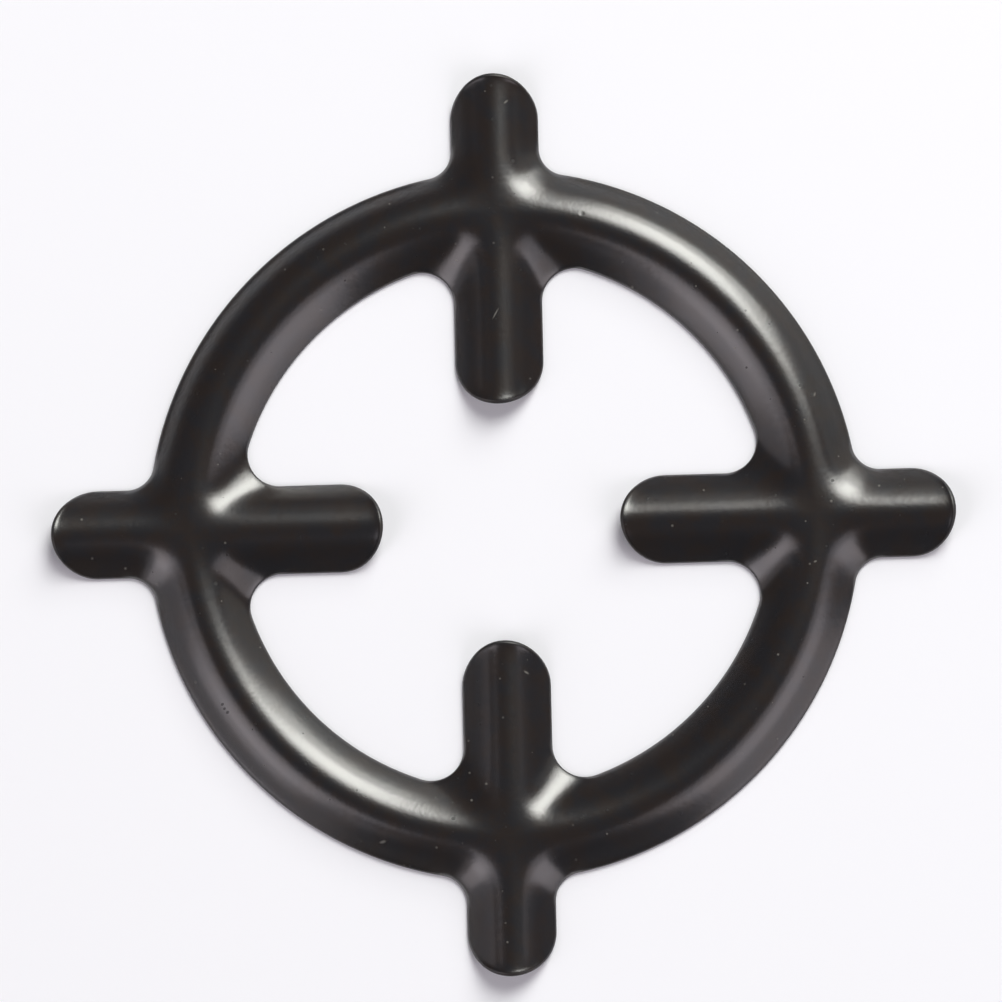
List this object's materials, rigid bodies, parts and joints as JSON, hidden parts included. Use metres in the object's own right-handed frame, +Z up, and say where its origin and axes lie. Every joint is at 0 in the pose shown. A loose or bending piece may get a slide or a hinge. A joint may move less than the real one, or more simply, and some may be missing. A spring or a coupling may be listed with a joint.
{
  "type": "stove reducer ring",
  "caption": "Flat pressed-steel ring with crossed arched arms that point inward and outward, laid on hob supports to carry a small pot.",
  "frame": {"origin": "centre of the ring, in the plane that its edges rest on", "axes": "+Z up through the crowns, +X and +Y along two of the arms"},
  "size_m": [0.145, 0.145, 0.0046],
  "materials": {
    "enamel": "semi-gloss fired black enamel on pressed sheet steel"
  },
  "bodies": {
    "root": {"reducer_ring": "enamel"}
  },
  "joints": []
}
